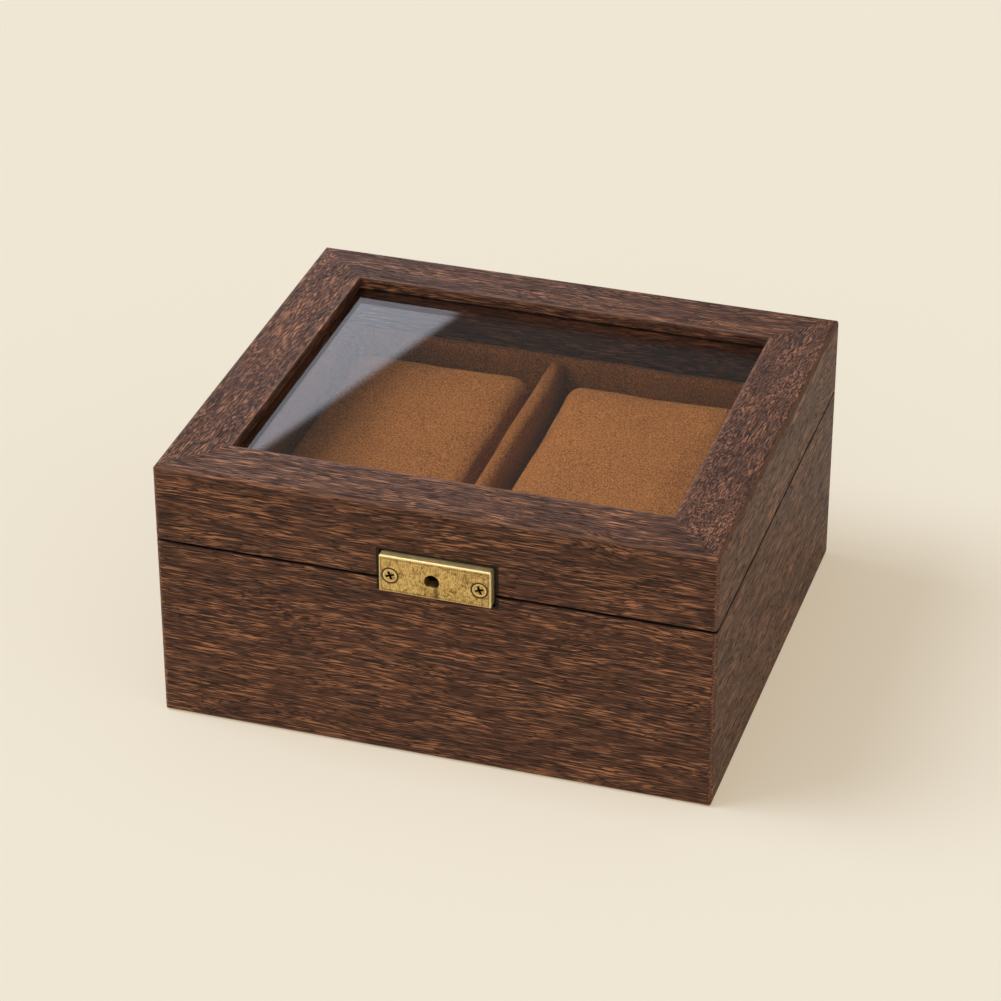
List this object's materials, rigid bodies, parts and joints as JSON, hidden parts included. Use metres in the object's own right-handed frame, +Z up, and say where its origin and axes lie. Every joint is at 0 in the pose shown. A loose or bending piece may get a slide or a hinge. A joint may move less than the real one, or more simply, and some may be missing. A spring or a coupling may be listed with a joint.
{
  "type": "watch case",
  "caption": "Glass-topped wooden watch case with a hinged lid on stop hinges, a front key lock, a suede lining and lift-out watch pillows.",
  "frame": {"origin": "middle of the underside, on the surface that the case stands on", "axes": "+X to the right and -Y to the front as one faces the lock, +Z up"},
  "size_m": [0.16, 0.1491, 0.08],
  "materials": {
    "dark_wood": "open-pored dark hardwood, oiled",
    "floor_board": "plain board",
    "felt": "pressed felt",
    "suede_lining": "suede",
    "suede_pillow": "suede",
    "foam": "upholstery foam",
    "card_board": "board",
    "glass": "clear float glass",
    "brass": "aged brass",
    "brass_screws": "aged brass",
    "steel": "plain",
    "rubber": "soft bumper"
  },
  "bodies": {
    "base": {"base_front_wall": "dark_wood", "base_back_wall": "dark_wood", "base_left_wall": "dark_wood", "base_right_wall": "dark_wood", "base_floor_panel": "floor_board", "base_felt": "felt", "rim_bumpers": "rubber", "liner_front": "suede_lining", "liner_back": "suede_lining", "liner_left": "suede_lining", "liner_right": "suede_lining", "floor_pad_left": "suede_lining", "floor_pad_right": "suede_lining", "divider": "suede_lining", "strike_plate": "brass", "strike_screws": "brass_screws", "hinge_left_base_leaf": "brass", "hinge_right_base_leaf": "brass", "hinge_left_pin": "steel", "hinge_right_pin": "steel", "hinge_base_screws": "brass_screws"},
    "lid": {"lid_front_rail": "dark_wood", "lid_back_rail": "dark_wood", "lid_left_rail": "dark_wood", "lid_right_rail": "dark_wood", "glass_pane": "glass", "glass_bead_front": "dark_wood", "glass_bead_back": "dark_wood", "glass_bead_left": "dark_wood", "glass_bead_right": "dark_wood", "lock_plate": "brass", "lock_plate_screws": "brass_screws", "lock_case": "steel", "lock_spring": "steel", "hinge_left_lid_leaf": "brass", "hinge_right_lid_leaf": "brass", "hinge_lid_screws": "brass_screws"},
    "lock_rotor": {"lock_rotor": "brass"},
    "lock_bolt": {"lock_bolt": "steel"},
    "pillow_left": {"pillow_left_cover": "suede_pillow", "pillow_left_core": "foam", "pillow_left_board": "card_board"},
    "pillow_right": {"pillow_right_cover": "suede_pillow", "pillow_right_core": "foam", "pillow_right_board": "card_board"}
  },
  "joints": [
    {"name": "lid_hinge", "type": "hinge", "parent": "base", "child": "lid", "pos_m": [0, 0.0722, 0.0566], "axis": [-1, 0, 0], "range_deg": [0, 97]},
    {"name": "key_turn", "type": "hinge", "parent": "lid", "child": "lock_rotor", "pos_m": [0.0012, -0.068, 0.0592], "axis": [0, 1, 0], "range_deg": [0, 80]},
    {"name": "bolt_slide", "type": "slide", "parent": "lid", "child": "lock_bolt", "axis": [1, 0, 0], "range_m": [0, 0.0031]},
    {"name": "pillow_left_lift", "type": "slide", "parent": "base", "child": "pillow_left", "axis": [0, 0, 1], "range_m": [0, 0.0165]},
    {"name": "pillow_right_lift", "type": "slide", "parent": "base", "child": "pillow_right", "axis": [0, 0, 1], "range_m": [0, 0.0165]}
  ],
  "couplings": [
    {"joint": "key_turn", "follows": "bolt_slide", "rad_per_m": 450.4}
  ]
}
